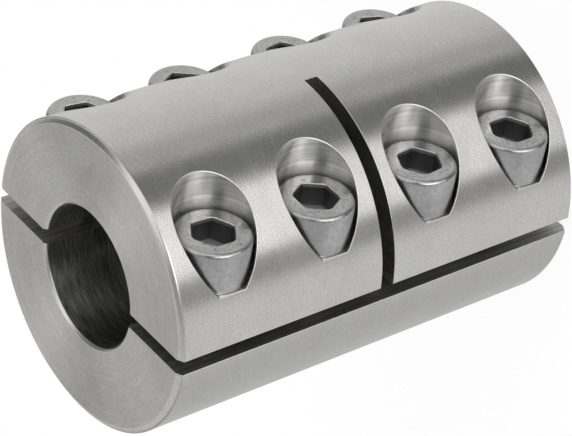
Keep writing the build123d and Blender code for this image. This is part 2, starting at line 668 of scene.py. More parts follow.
@dataclass
class ClampHalf(HalfShell):
    """The half with the counterbores and the cross slot."""

    wall_columns: int = 72
    wall_rows: int = 10
    chord_columns: int = 8
    corner_step: float = math.radians(1.0)
    seat_rows: int = 4
    margin: float = 0.35
    lip_facing: Point = (1.0, 1.5, 0.0)

    @property
    def seat(self) -> float:
        """Depth of the seats under the screw heads."""
        return self.screws[0].top - self.sizes.head_height

    @property
    def screw_offset(self) -> float:
        """Distance of the screw axes from the bore axis along X."""
        return abs(self.screws[0].x)

    @property
    def seat_edge(self) -> float:
        """How far beyond the screw's axis the flat of a seat reaches."""
        return self.chord_reach(self.seat) - self.sizes.lip_break

    @property
    def seat_angle(self) -> float:
        """Angle about the screw where the seat's straight edge meets the pocket wall."""
        return math.acos(self.seat_edge / self.sizes.pocket_radius)

    @property
    def rim_radius(self) -> float:
        """Radius of the pocket's rim on the turned outside."""
        return self.sizes.pocket_radius + self.sizes.edge_break

    @property
    def lip_depth(self) -> float:
        """Depth at which the broken edge of a seat meets the turned outside."""
        return self.seat - self.sizes.lip_break

    @property
    def rim_angle(self) -> float:
        """Angle about the screw where the rim meets the broken edge of the seat."""
        return math.acos(self.chord_reach(self.lip_depth) / self.rim_radius)

    def chord_reach(self, depth: float) -> float:
        """Return how far beyond the screw's axis the outside is at a depth."""
        return math.sqrt(self.sizes.outer_radius ** 2 - depth ** 2) - self.screw_offset

    def wall_angles(self) -> list[float]:
        """Return the angles about the screw where the pocket has a wall."""
        first = self.seat_angle
        return steps(first, FULL_TURN - first, (FULL_TURN - 2 * first) / self.wall_columns)

    def chord_angles(self) -> list[float]:
        """Return the angles about the screw along the seat's straight edge."""
        return steps(-self.seat_angle, self.seat_angle, 2 * self.seat_angle / self.chord_columns)

    def corner_angles(self) -> list[float]:
        """Return the angles from the end of the rim to the end of the wall."""
        return steps(self.rim_angle, self.seat_angle, self.corner_step)

    def slot_levels(self, edge: float = 0.0) -> Flat:
        """Return the heights of the slot's sides, moved apart by an edge."""
        half = self.sizes.slot_width / 2 + edge
        return self.sizes.middle - half, self.sizes.middle + half

    def spans(self, x_side: int) -> list[Flat]:
        """Return the stretches of height where a long edge runs, split by the slot on -X."""
        below, above = self.slot_levels()
        return super().spans(x_side) if x_side > 0 else [(0.0, below), (above, self.sizes.length)]

    def levels(self, low: float, high: float) -> list[float]:
        """Return the heights of the rows of a wall, those of the slot's sides among them.

        Args:
            low: Lowest height of the wall.
            high: Highest height of the wall.

        Returns:
            The heights, rising.
        """
        below, above = self.slot_levels()
        if low < below and high > above:
            return super().levels(low, below) + super().levels(above, high)
        return super().levels(low, high)

    def crown_angle(self, radius: float) -> float:
        """Return the angle of the middle column at a radius, which ends at the slot's end wall."""
        return math.acos(-self.sizes.slot_stop / radius)

    def wall_span(self, low: float, high: float) -> Flat:
        """Return the heights where the turned outside begins and ends beside a parting panel."""
        edge = self.sizes.slot_edge
        below, above = self.slot_levels()
        return (low + edge if low == above else low), (high - edge if high == below else high)

    def far_edge(self, arcs: list[float], low: float, high: float) -> list[Flat]:
        """Return the outside's edge beside the last column, round the notch of the slot.

        Args:
            arcs: Arc lengths of the outside's columns.
            low: Lowest height of the outside.
            high: Highest height of the outside.

        Returns:
            The corners in order, without the upper end.
        """
        edge = self.sizes.slot_edge
        below, above = self.slot_levels(edge)
        crown = len(arcs) // 2
        notch = [(arc, below) for arc in reversed(arcs[crown:])]
        notch += [(arcs[crown] - edge, below), (arcs[crown] - edge, above)]
        notch += [(arc, above) for arc in arcs[crown:-1]]
        return super().far_edge(arcs, low, below) + notch + super().far_edge(arcs, above, high)

    def rim_flat(self, screw: ScrewPlace, angle: float) -> Flat:
        """Return a point of a pocket's rim on the outside laid out flat."""
        radius = self.sizes.outer_radius
        x = screw.side * (self.screw_offset + self.rim_radius * math.cos(angle))
        return radius * math.acos(x / radius), screw.height + self.rim_radius * math.sin(angle)

    def lip_flat(self, screw: ScrewPlace, angle: float) -> Flat:
        """Return a point of a seat's broken edge on the outside laid out flat.

        Args:
            screw: The screw of the seat.
            angle: Angle about the screw at which the point lies on the seat's straight edge.

        Returns:
            Arc length and height.
        """
        radius = self.sizes.outer_radius
        turn = math.asin(self.lip_depth / radius)
        share = math.tan(angle) / math.tan(self.seat_angle)
        return (radius * (math.pi - turn if screw.x < 0 else turn),
                screw.height + share * self.rim_radius * math.sin(self.rim_angle))

    def outside_holes(self) -> list[list[Flat]]:
        """Return the rims of the pockets on the outside laid out flat.

        Returns:
            A closed loop for each screw.
        """
        corner = self.corner_angles()[:-1]
        ends = [FULL_TURN - angle for angle in reversed(corner)]
        return [
            [self.rim_flat(screw, angle) for angle in [*corner, *self.wall_angles(), *ends]]
            + [self.lip_flat(screw, angle) for angle in self.chord_angles()[1:-1]]
            for screw in self.screws
        ]

    def outside_clear(self, arc: float, z: float) -> bool:
        """Tell whether a point of the outside is well clear of the pockets and the slot.

        Args:
            arc: Arc length of the point on the outside.
            z: Its height.

        Returns:
            True where no rim is near.
        """
        sizes = self.sizes
        x, depth, _ = around(arc / sizes.outer_radius, sizes.outer_radius)
        below, above = self.slot_levels(sizes.slot_edge + self.margin)
        if x < self.margin - sizes.slot_stop and below < z < above:
            return False
        return all(
            math.hypot(x - screw.x, z - screw.height) > self.rim_radius + self.margin
            or depth < self.lip_depth - self.margin
            for screw in self.screws
        )

    def bore_stretches(self, arcs: list[float], low: float,
                       high: float) -> list[tuple[list[float], list[float]]]:
        """Return the arcs and heights of the bore's stretches, open where the slot passes.

        Args:
            arcs: Arc lengths of the bore's columns.
            low: Lowest height of the bore.
            high: Highest height of the bore.

        Returns:
            One stretch beside the slot, one below it and one above it.
        """
        crown = len(arcs) // 2
        below, above = self.slot_levels()
        return [
            (arcs[:crown + 1], self.levels(low, high)),
            (arcs[crown:], self.levels(low, below)),
            (arcs[crown:], self.levels(above, high)),
        ]

    def screw_holes(self) -> None:
        """Add the slot, and the pocket, seat and clearance hole of every screw."""
        self.cross_slot()
        for screw in self.screws:
            columns = [self.wall_column(screw, angle) for angle in self.wall_angles()]
            self.draft.grid(columns, Skin.POCKET)
            self.pocket_rim(screw, columns)
            self.pocket_seat(screw)
            self.hole_wall(screw, self.sizes.half_gap, self.seat)

    def hole_radius(self) -> float:
        """Return the radius of the clearance holes."""
        return self.sizes.clearance_radius

    def hole_angles(self) -> list[float]:
        """Return the angles of the corners round a screw, without the last."""
        return self.wall_angles()[:-1] + [FULL_TURN + angle for angle in self.chord_angles()[:-1]]

    def cross_slot(self) -> None:
        """Add the side walls, the end wall and the broken edges of the slot."""
        sizes = self.sizes
        lip = sizes.outer_radius - sizes.slot_edge
        rings = self.face_rings(sizes.bore_radius, sizes.outer_radius)
        rings[-1] = (lip, self.columns(lip))
        crown = len(rings[0][1]) // 2
        ends = []
        for z, facing in zip(self.slot_levels(), (UP, DOWN)):
            rows = [[self.round_spot(radius, angle, z, facing, around(angle, radius)[:2])
                     for angle in angles[crown:]] for radius, angles in rings]
            self.draft.grid(rows, Skin.SAWN)
            ends.append([self.round_spot(radius, angles[crown], z, SLOT_END) for radius, angles in rings])
        self.draft.grid(ends, Skin.SAWN)
        self.slot_edges(lip, crown)

    def slot_edges(self, lip: float, crown: int) -> None:
        """Add the broken edges round the mouth of the slot and its two corners.

        Args:
            lip: Radius at which the slot's walls end.
            crown: Number of the column at the crown.
        """
        sizes = self.sizes
        radius = sizes.outer_radius
        outer_row, lip_row = [], []
        for z, wide, facing in zip(self.slot_levels(), self.slot_levels(sizes.slot_edge), (UP, DOWN)):
            outer = [self.round_spot(radius, angle, wide) for angle in self.columns(radius)[crown:]]
            inner = [self.round_spot(lip, angle, z, facing) for angle in self.columns(lip)[crown:]]
            self.draft.grid([outer, inner], Skin.EDGE)
            outer_row.append(self.round_spot(radius, self.crown_angle(radius) - sizes.slot_edge / radius,
                                             wide))
            lip_row.append(self.round_spot(lip, self.crown_angle(lip), z, SLOT_END))
            self.draft.face([outer[0], outer_row[-1], inner[0]], Skin.EDGE)
            flat = self.spot(-self.gap_reach(radius, 1), sizes.half_gap, z, INWARD, (0.0, z))
            self.draft.face([outer[-1], inner[-1], flat], Skin.EDGE)
        self.draft.grid([outer_row, lip_row], Skin.EDGE)

    def outside_spot(self, flat: Flat) -> Spot:
        """Return a corner on the turned outside from its place laid out flat."""
        return self.round_spot(self.sizes.outer_radius, flat[0] / self.sizes.outer_radius, flat[1])

    def wall_column(self, screw: ScrewPlace, angle: float) -> list[Spot]:
        """Return the corners of a pocket's wall at one angle, from the seat up to its rim.

        Args:
            screw: The screw in the pocket.
            angle: Angle about the screw.

        Returns:
            The corners, rising.
        """
        sizes = self.sizes
        x = self.screw_offset + sizes.pocket_radius * math.cos(angle)
        rise = math.sqrt(sizes.outer_radius ** 2 - x ** 2) - sizes.edge_break - self.seat
        return [self.screw_spot(screw, sizes.pocket_radius, angle, self.seat + rise * share)
                for share in steps(0.0, 1.0, 1 / self.wall_rows)]

    def pocket_rim(self, screw: ScrewPlace, columns: list[list[Spot]]) -> None:
        """Add the broken edge round a counterbore, and the two corners beside its seat.

        Args:
            screw: The screw in the counterbore.
            columns: The corners of the counterbore's wall.
        """
        outer = [self.outside_spot(self.rim_flat(screw, angle)) for angle in self.wall_angles()]
        self.draft.grid([outer, [column[-1] for column in columns]], Skin.EDGE)
        seat_row, lip_row = [], []
        for angle in self.chord_angles():
            radius = self.seat_edge / math.cos(angle)
            seat_row.append(self.screw_spot(screw, radius, angle, self.seat, self.lip_facing))
            lip = self.outside_spot(self.lip_flat(screw, angle))
            lip_row.append(lip._replace(facing=seat_row[-1].facing))
        self.draft.grid([seat_row, lip_row], Skin.EDGE)
        for index, seat_corner, turn in ((0, seat_row[-1], 1), (-1, seat_row[0], -1)):
            column = [spot._replace(facing=seat_corner.facing) for spot in columns[index]]
            self.draft.face([outer[index], *reversed(column)], Skin.EDGE)
            fan = [self.outside_spot(self.rim_flat(screw, turn * angle)) for angle in self.corner_angles()]
            self.draft.fan(fan, seat_corner, Skin.EDGE)

    def pocket_seat(self, screw: ScrewPlace) -> None:
        """Add the flat seat round the clearance hole.

        Args:
            screw: The screw that rests on it.
        """
        sizes = self.sizes
        rows = []
        for share in steps(0.0, 1.0, 1 / self.seat_rows):
            row = []
            for angle in [*self.hole_angles(), FULL_TURN + self.seat_angle]:
                reach = min(sizes.pocket_radius, self.seat_edge / max(ROUND_OFF, math.cos(angle)))
                radius = sizes.clearance_radius + (reach - sizes.clearance_radius) * share
                row.append(self.screw_spot(screw, radius, angle, self.seat, OUTWARD))
            rows.append(row)
        self.draft.grid(rows, Skin.SEAT)


@dataclass
class CapScrew:
    """A socket head cap screw, drawn about its own axis with its seat at height 0 and its head up."""

    sizes: CouplingSizes
    socket_flat: float = 2.5
    socket_depth: float = 3.2
    socket_break: float = 0.10
    socket_flare: float = 0.18
    flare_depth: float = 0.45
    socket_rim: float = 3.04
    drill_radius: float = 1.7
    drill_lean: float = math.radians(60)
    head_round: float = 0.6
    seat_break: float = 0.12
    thread_radius: float = 3.0
    thread_root: float = 2.39
    root_lean: float = 0.2
    pitch: float = 1.0
    point_chamfer: float = 0.6
    columns: int = 72
    seat_step: float = 0.5
    side_step: float = 1.0
    round_step: float = math.radians(18)
    draft: MeshDraft = field(default_factory=MeshDraft)

    def angles(self) -> list[float]:
        """Return the angles of the columns of the head, the last on the first."""
        return steps(0.0, FULL_TURN, FULL_TURN / self.columns)

    def ring(self, radius: float, z: float, lean: float) -> list[Spot]:
        """Return a closed ring of corners.

        Args:
            radius: Radius of the ring.
            z: Height of the ring.
            lean: Angle of the surface's direction above the plane of the ring.

        Returns:
            The corners.
        """
        out, up = math.cos(lean), math.sin(lean)
        across = radius if abs(up) > out else z
        return [Spot(around(angle, radius, z), around(angle, out, up), (radius * angle, across))
                for angle in self.angles()]

    def build(self, name: str, paint: Callable[[Skin], bpy.types.Material]) -> bpy.types.Object:
        """Make one screw as an object that stands upright at the origin.

        Args:
            name: Name of the piece.
            paint: Gives the material of a kind of surface.

        Returns:
            The new object.
        """
        self.head()
        self.socket()
        self.thread()
        return self.draft.build(name, paint)

    def head(self) -> None:
        """Add the turned head with its rounded upper edge and its seat."""
        radius, top = self.sizes.head_radius, self.sizes.head_height
        down, level, up = -QUARTER_TURN, 0.0, QUARTER_TURN
        seat_radius, shoulder = radius - self.seat_break, top - self.head_round
        bands = (
            ([(reach, 0.0, down) for reach in steps(self.thread_radius, seat_radius, self.seat_step)],
             Skin.SEAT),
            ([(seat_radius, 0.0, down), (radius, self.seat_break, level)], Skin.EDGE),
            ([(radius, z, level) for z in steps(self.seat_break, shoulder, self.side_step)],
             Skin.HEAD_SIDE),
            ([(radius - self.head_round * (1 - math.cos(lean)), top - self.head_round * (1 - math.sin(lean)),
               lean) for lean in steps(level, up, self.round_step)], Skin.HEAD_ROUND),
        )
        for rings, skin in bands:
            self.draft.grid([self.ring(*ring) for ring in rings], skin)
        inner = self.hexagon(self.mouth_flat + self.socket_break, top, self.socket_rim)
        self.draft.grid([inner, self.ring(radius - self.head_round, top, up)], Skin.HEAD_TOP)

    def hexagon(self, flat: float, z: float, limit: float = math.inf) -> list[Spot]:
        """Return a closed hexagon of corners about the axis, facing up.

        Args:
            flat: Distance of its sides from the axis.
            z: Its height.
            limit: Radius of the circle that cuts its points off.

        Returns:
            The corners, as many as in a ring, with one at each point of the hexagon.
        """
        spots = []
        for angle in self.angles():
            radius = min(limit, flat / math.cos(angle % SIXTH_TURN - SIXTH_TURN / 2))
            spots.append(Spot(around(angle, radius, z), UP, (radius * angle, radius)))
        return spots

    @property
    def mouth_flat(self) -> float:
        """Distance from the axis of the socket's flared sides under its broken edge."""
        return self.socket_flat + self.socket_flare

    def socket(self) -> None:
        """Add the broken edge, the flared mouth, the six walls and the drilled floor of the socket."""
        top, cut = self.sizes.head_height, self.socket_break
        floor = top - self.socket_depth
        rim = self.hexagon(self.mouth_flat + cut, top, self.socket_rim)
        flare = self.hexagon(self.mouth_flat, top - cut, self.socket_rim - cut)
        mouth = self.hexagon(self.socket_flat, top - self.flare_depth)
        foot = self.hexagon(self.socket_flat, floor)
        bands = (
            (rim, flare, 1.0, Skin.SOCKET_EDGE),
            (flare, mouth, self.socket_flare / self.flare_depth, Skin.SOCKET),
            (mouth, foot, 0.0, Skin.SOCKET),
        )
        share = self.columns // SOCKET_SIDES
        for side in range(SOCKET_SIDES):
            stretch = slice(side * share, (side + 1) * share + 1)
            for upper, lower, rise, skin in bands:
                facing = around((side + 0.5) * SIXTH_TURN, -1.0, rise)
                self.draft.grid([self.on_wall(row[stretch], facing) for row in (upper, lower)], skin)
        ring = self.ring(self.drill_radius, floor, QUARTER_TURN)
        self.draft.grid([foot, ring], Skin.SOCKET_FLOOR)
        self.drill_point(ring, floor)

    def on_wall(self, spots: list[Spot], facing: Point) -> list[Spot]:
        """Return corners turned to a socket wall, with the tool path down the wall."""
        return [Spot(spot.place, facing, (spot.place[2], spot.place[0])) for spot in spots]

    def drill_point(self, ring: list[Spot], floor: float) -> None:
        """Add the cone that the drill left in the socket's floor.

        Args:
            ring: Its rim.
            floor: Height of the rim.
        """
        out, up = math.cos(self.drill_lean) / self.drill_radius, math.sin(self.drill_lean)
        cone = [spot._replace(facing=(-spot.place[0] * out, -spot.place[1] * out, up)) for spot in ring]
        depth = self.drill_radius / math.tan(self.drill_lean)
        self.draft.fan(cone, Spot((0.0, 0.0, floor - depth), UP, (0.0, 0.0)), Skin.SOCKET_FLOOR)

    def thread(self) -> None:
        """Add the thread as a helix that runs out under the head and at the point."""
        end = -self.sizes.screw_length
        depth = self.thread_radius - self.thread_root
        # Spare turns at both ends, which the head and the point cut off
        turns = round(self.sizes.screw_length / self.pitch) + 2
        rows = []
        for column, angle in enumerate(self.angles()):
            row = []
            for turn in range(-1, turns):
                for step, share in THREAD_SHAPE:
                    z = -(turn + step - column / self.columns) * self.pitch
                    inside = min(0.0, max(end, z))
                    radius = self.thread_radius - max(0.0, end + self.point_chamfer - inside)
                    if inside == z and inside not in (0.0, end):
                        radius = min(self.thread_root + depth * share, radius)
                    row.append(Spot(around(angle, radius, inside),
                                    around(angle, 1.0, 0.0 if share else self.root_lean),
                                    (radius * angle, inside)))
            rows.append(row)
        for row, following in zip(rows, rows[1:]):
            for index in range(len(row) - 1):
                self.thread_face(row[index], row[index + 1], following[index + 1], following[index])
        edge = [Spot(row[-1].place, DOWN, (0.0, 0.0)) for row in rows]
        self.draft.fan(edge, Spot((0.0, 0.0, end), DOWN, (0.0, 0.0)), Skin.HEAD_SIDE)

    def thread_face(self, *corners: Spot) -> None:
        """Add one facet of the thread, which faces as its own plane does.

        Args:
            *corners: Its four corners in order.
        """
        a, b, c, d = (Vector(spot.place) for spot in corners)
        normal = (c - a).cross(d - b)
        if normal.length < ROUND_OFF:
            return
        normal.normalize()
        middle = (a + b + c + d) / 4
        if normal.x * middle.x + normal.y * middle.y < 0:
            normal.negate()
        self.draft.face([spot._replace(facing=tuple(normal)) for spot in corners], Skin.THREAD)


class Wiring:
    """Short calls that add nodes to one tree and join them."""

    # Numbers of a mix node's sockets when it mixes colours: its two inputs and its result
    FIRST_COLOUR, SECOND_COLOUR, MIXED_COLOUR = 6, 7, 2

    def __init__(self, tree: bpy.types.NodeTree) -> None:
        """Work on a tree."""
        self.tree = tree

    def node(self, kind: str, **settings: object) -> bpy.types.Node:
        """Add a node and give it its settings.

        Args:
            kind: Blender's name of the node.
            **settings: Properties of the node.

        Returns:
            The new node.
        """
        made = self.tree.nodes.new(kind)
        for name, value in settings.items():
            setattr(made, name, value)
        return made

    def feed(self, socket: bpy.types.NodeSocket, value: object) -> None:
        """Join a socket to another one, or give it a fixed value.

        Args:
            socket: The input.
            value: The socket to join, or the value.
        """
        if isinstance(value, bpy.types.NodeSocket):
            self.tree.links.new(value, socket)
        else:
            socket.default_value = value

    def supply(self, node: bpy.types.Node, **values: object) -> None:
        """Feed the inputs of a node by their names, with spaces written as underscores."""
        for name, value in values.items():
            self.feed(node.inputs[name.replace("_", " ")], value)

    def maths(self, operation: str, *values: Number) -> bpy.types.NodeSocket:
        """Return the result of a sum on numbers.

        Args:
            operation: Blender's name of the sum.
            *values: Sockets or numbers.

        Returns:
            The result's socket.
        """
        made = self.node("ShaderNodeMath", operation=operation)
        for socket, value in zip(made.inputs, values):
            self.feed(socket, value)
        return made.outputs[0]

    def spread(self, value: Number, low: float, high: float, smooth: bool = False) -> bpy.types.NodeSocket:
        """Return a value stretched so that low and high become 0 and 1.

        Args:
            value: The value.
            low: What becomes 0.
            high: What becomes 1.
            smooth: Whether the ramp eases in and out.

        Returns:
            The result's socket.
        """
        made = self.node("ShaderNodeMapRange", clamp=True,
                         interpolation_type="SMOOTHSTEP" if smooth else "LINEAR")
        self.supply(made, Value=value, From_Min=low, From_Max=high, To_Min=0.0, To_Max=1.0)
        return made.outputs["Result"]

    def noise(self, vector: bpy.types.NodeSocket, span: Flat, detail: float, rough: float,
              smooth: bool = False) -> bpy.types.NodeSocket:
        """Return noise with grains about 1 unit apart, spread so that the span runs from 0 to 1.

        Args:
            vector: Where the noise is read.
            span: The values that become 0 and 1.
            detail: How many finer layers it has.
            rough: How strong those layers are.
            smooth: Whether the ramp between them eases in and out.

        Returns:
            The result's socket.
        """
        made = self.node("ShaderNodeTexNoise", noise_dimensions="3D")
        self.supply(made, Vector=vector, Scale=1.0, Detail=detail, Roughness=rough)
        return self.spread(made.outputs["Fac"], *span, smooth)

    def stretched(self, vector: bpy.types.NodeSocket, *factors: Number) -> bpy.types.NodeSocket:
        """Return a vector with each part multiplied by its factor.

        Args:
            vector: The vector.
            *factors: Three sockets or numbers.

        Returns:
            The result's socket.
        """
        parts = self.node("ShaderNodeSeparateXYZ")
        self.feed(parts.inputs[0], vector)
        joined = self.node("ShaderNodeCombineXYZ")
        for index, factor in enumerate(factors):
            self.feed(joined.inputs[index], self.maths("MULTIPLY", parts.outputs[index], factor))
        return joined.outputs[0]

    def blend(self, share: Number, first: object, second: object) -> bpy.types.NodeSocket:
        """Return the colour that lies a share of the way from the first to the second.

        Args:
            share: How far along the colour lies.
            first: Colour at share 0.
            second: Colour at share 1.

        Returns:
            The result's socket.
        """
        made = self.node("ShaderNodeMix", data_type="RGBA")
        self.feed(made.inputs[0], share)
        self.feed(made.inputs[self.FIRST_COLOUR], first)
        self.feed(made.inputs[self.SECOND_COLOUR], second)
        return made.outputs[self.MIXED_COLOUR]


@dataclass(frozen=True)
class Effect:
    """A shader node group with named inputs and outputs, made once and used by many materials."""

    name: str
    inputs: dict[str, float | None]
    outputs: tuple[str, ...]
    wire: Callable[[Wiring, Sockets], Sockets]

    def tree(self) -> bpy.types.NodeTree:
        """Return the group's tree, made where there is none yet.

        Returns:
            The tree, with a number as each input, or a vector where the effect gives no value.
        """
        if self.name in bpy.data.node_groups:
            return bpy.data.node_groups[self.name]
        tree = bpy.data.node_groups.new(self.name, "ShaderNodeTree")
        for name, value in self.inputs.items():
            kind = "NodeSocketVector" if value is None else "NodeSocketFloat"
            socket = tree.interface.new_socket(name, in_out="INPUT", socket_type=kind)
            if value is not None:
                socket.default_value = value
        for name in self.outputs:
            tree.interface.new_socket(name, in_out="OUTPUT", socket_type="NodeSocketFloat")
        wiring = Wiring(tree)
        entry = wiring.node("NodeGroupInput")
        leave = wiring.node("NodeGroupOutput")
        wiring.supply(leave, **self.wire(wiring, {name: entry.outputs[name] for name in self.inputs}))
        return tree

    def place(self, wiring: Wiring, **values: object) -> bpy.types.Node:
        """Place the group in a material.

        Args:
            wiring: The material's wiring.
            **values: Inputs by name, with spaces written as underscores.

        Returns:
            The group node.
        """
        made = wiring.node("ShaderNodeGroup", node_tree=self.tree())
        wiring.supply(made, **values)
        return made


# Spans of noise that are spread from 0 to 1: for even marks, for soft smudges and for rare specks
EVEN, SOFT, RARE = (0.3, 0.7), (0.35, 0.68), (0.57, 0.66)

# How the broader marks differ from the fine ones: bands by wander and rate, mottle and specks by rate
BAND_WANDER, BAND_RATE, MOTTLE_RATE, SPECK_RATE = 0.2, 0.15, 0.3, 14.0


def wire_tool_marks(wiring: Wiring, given: Sockets) -> Sockets:
    """Wire fine cut lines and the broader bands that they gather into.

    Args:
        wiring: The group's wiring.
        given: The group's inputs by name.

    Returns:
        Its outputs by name.
    """
    path, pitch = given["Path"], given["Pitch"]
    fine = wiring.stretched(path, given["Wander"], wiring.maths("DIVIDE", 1.0, pitch), 0.0)
    broad = wiring.stretched(path, wiring.maths("MULTIPLY", given["Wander"], BAND_WANDER),
                             wiring.maths("DIVIDE", BAND_RATE, pitch), 0.0)
    return {
        "Lines": wiring.noise(fine, EVEN, detail=1.0, rough=0.5),
        "Bands": wiring.noise(broad, EVEN, detail=2.0, rough=0.6),
    }


def wire_grain(wiring: Wiring, given: Sockets) -> Sockets:
    """Wire the fine grain of a cut surface, drawn out a little along the cut.

    Args:
        wiring: The group's wiring.
        given: The group's inputs by name.

    Returns:
        Its outputs by name.
    """
    rate = wiring.maths("DIVIDE", 1.0, given["Size"])
    along = wiring.maths("DIVIDE", rate, given["Stretch"])
    coarse = wiring.maths("MULTIPLY", rate, MOTTLE_RATE)
    fine = wiring.stretched(given["Path"], along, rate, 0.0)
    broad = wiring.stretched(given["Path"], coarse, coarse, 0.0)
    return {
        "Grain": wiring.noise(fine, EVEN, detail=1.0, rough=0.6),
        "Mottle": wiring.noise(broad, EVEN, detail=2.0, rough=0.6),
    }


def wire_handling(wiring: Wiring, given: Sockets) -> Sockets:
    """Wire the soft marks of handling and the small specks of a bare steel surface.

    Args:
        wiring: The group's wiring.
        given: The group's inputs by name.

    Returns:
        Its outputs by name.
    """
    rate = wiring.maths("DIVIDE", 1.0, given["Size"])
    small = wiring.maths("MULTIPLY", rate, SPECK_RATE)
    soft = wiring.stretched(given["Position"], rate, rate, rate)
    grains = wiring.stretched(given["Position"], small, small, small)
    return {
        "Smudge": wiring.noise(soft, SOFT, detail=3.0, rough=0.55, smooth=True),
        "Specks": wiring.noise(grains, RARE, detail=2.0, rough=0.6),
    }


TOOL_MARKS = Effect("tool_marks", {"Path": None, "Pitch": 0.3, "Wander": 0.05}, ("Lines", "Bands"),
                    wire_tool_marks)
GRAIN = Effect("grain", {"Path": None, "Size": 0.2, "Stretch": 2.0}, ("Grain", "Mottle"), wire_grain)
HANDLING = Effect("handling", {"Position": None, "Size": 6.0}, ("Smudge", "Specks"), wire_handling)

# A quarter turn of the stretched gloss, which lays it along the cut
ALONG_CUT = 0.25


@dataclass(frozen=True)
class Finish:
    """One finish of bare steel: its colours, its tool marks in millimetres, and their strengths."""

    light: Point
    dark: Point
    roughness: float
    spread: float = 0.05
    pitch: float = 0.3
    depth: float = 0.0008
    wander: float = 0.05
    lines: float = 0.15
    bands: float = 0.12
    grain: float = 0.2
    mottle: float = 0.1
    grain_size: float = 0.2
    grain_stretch: float = 2.0
    smudge: float = 0.1
    specks: float = 0.0
    stretch: float = 0.0

    def material(self, name: str) -> bpy.types.Material:
        """Make the material.

        Args:
            name: Name of the material.

        Returns:
            The new material.
        """
        made = bpy.data.materials.new(name)
        made.use_nodes = True
        wiring = Wiring(made.node_tree)
        shader = made.node_tree.nodes["Principled BSDF"]
        path = wiring.node("ShaderNodeUVMap", uv_map="tool_path").outputs[0]
        marks = TOOL_MARKS.place(wiring, Path=path, Pitch=self.pitch, Wander=self.wander)
        grain = GRAIN.place(wiring, Path=path, Size=self.grain_size, Stretch=self.grain_stretch)
        place = wiring.node("ShaderNodeTexCoord")
        metres = wiring.stretched(place.outputs["Object"], 1 / MM, 1 / MM, 1 / MM)
        handling = HANDLING.place(wiring, Position=metres)
        losses = (
            (marks.outputs["Lines"], self.lines),
            (marks.outputs["Bands"], self.bands),
            (grain.outputs["Grain"], self.grain),
            (grain.outputs["Mottle"], self.mottle),
            (handling.outputs["Smudge"], self.smudge),
            (handling.outputs["Specks"], self.specks),
        )
        tone: Number = 1.0
        for source, share in losses:
            if share:
                tone = wiring.maths("MULTIPLY", tone, wiring.maths("MULTIPLY_ADD", source, -share, 1.0))
        colour = wiring.blend(tone, (*self.dark, 1.0), (*self.light, 1.0))
        rough = wiring.maths("MULTIPLY_ADD", marks.outputs["Bands"], -self.spread,
                             self.roughness + self.spread / 2)
        rough = wiring.maths("MULTIPLY_ADD", handling.outputs["Smudge"], self.spread, rough)
        bump = wiring.node("ShaderNodeBump")
        wiring.supply(bump, Strength=1.0, Distance=self.depth * MM, Height=marks.outputs["Lines"])
        wiring.supply(shader, Base_Color=colour, Roughness=rough, Metallic=1.0,
                      Normal=bump.outputs["Normal"])
        if self.stretch:
            tangent = wiring.node("ShaderNodeTangent", direction_type="UV_MAP", uv_map="tool_path")
            wiring.supply(shader, Anisotropic=self.stretch, Anisotropic_Rotation=ALONG_CUT,
                          Tangent=tangent.outputs[0])
        return made


# Whiter than the halves' steel: painted extra light on the pocket walls
WALL_PAINTED_LIGHT = (1.0, 0.995, 0.985)
STEEL = (0.76, 0.755, 0.745)
DULL = (0.36, 0.355, 0.345)
# The bore's steel, darker than the outside's
DIMMER_BORE_STEEL = (0.62, 0.615, 0.60)
# Darkest tone: the bore's tool marks, and painted shade on the parting faces in the gap
DARK_MARKS_AND_GAP_SHADE = (0.08, 0.078, 0.075)
SCREW = (0.64, 0.64, 0.645)
SCREW_DULL = (0.24, 0.24, 0.24)
# Socket colours: its dark forged surface, deepened as painted shade in the recess
SOCKET_DARK_AND_SHADE = (0.20, 0.20, 0.20)
SOCKET_BLACK_AND_SHADE = (0.09, 0.09, 0.09)

